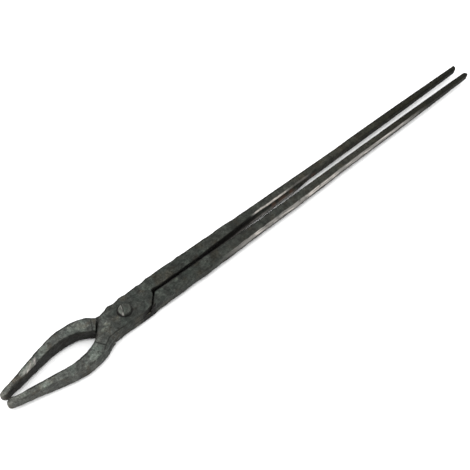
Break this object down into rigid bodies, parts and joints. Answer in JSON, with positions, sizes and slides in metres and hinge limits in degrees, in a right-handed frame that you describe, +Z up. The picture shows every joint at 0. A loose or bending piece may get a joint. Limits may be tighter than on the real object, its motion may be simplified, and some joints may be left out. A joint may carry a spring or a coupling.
{
  "type": "crucible tongs",
  "caption": "Long-reined hand-forged crucible tongs with bowed jaws that close at the tips, lapped and riveted at the boss.",
  "frame": {"origin": "on the rivet's axis, at the flat crown of the rivet's tail, the lowest point of the tongs", "axes": "+Z up along the rivet, out of its head; -X towards the jaw tips and +X towards the rein ends; +Y towards the upper half's rein"},
  "size_m": [0.4952, 0.039, 0.0153],
  "materials": {
    "forged_steel": "satin",
    "rivet_steel": "satin"
  },
  "bodies": {
    "lower": {"lower_half": "forged_steel", "rivet": "rivet_steel"},
    "upper": {"upper_half": "forged_steel"}
  },
  "joints": [
    {"name": "pivot", "type": "hinge", "parent": "lower", "child": "upper", "pos_m": [0, 0, 0.00695], "axis": [0, 0, 1], "range_deg": [0, 95]}
  ]
}
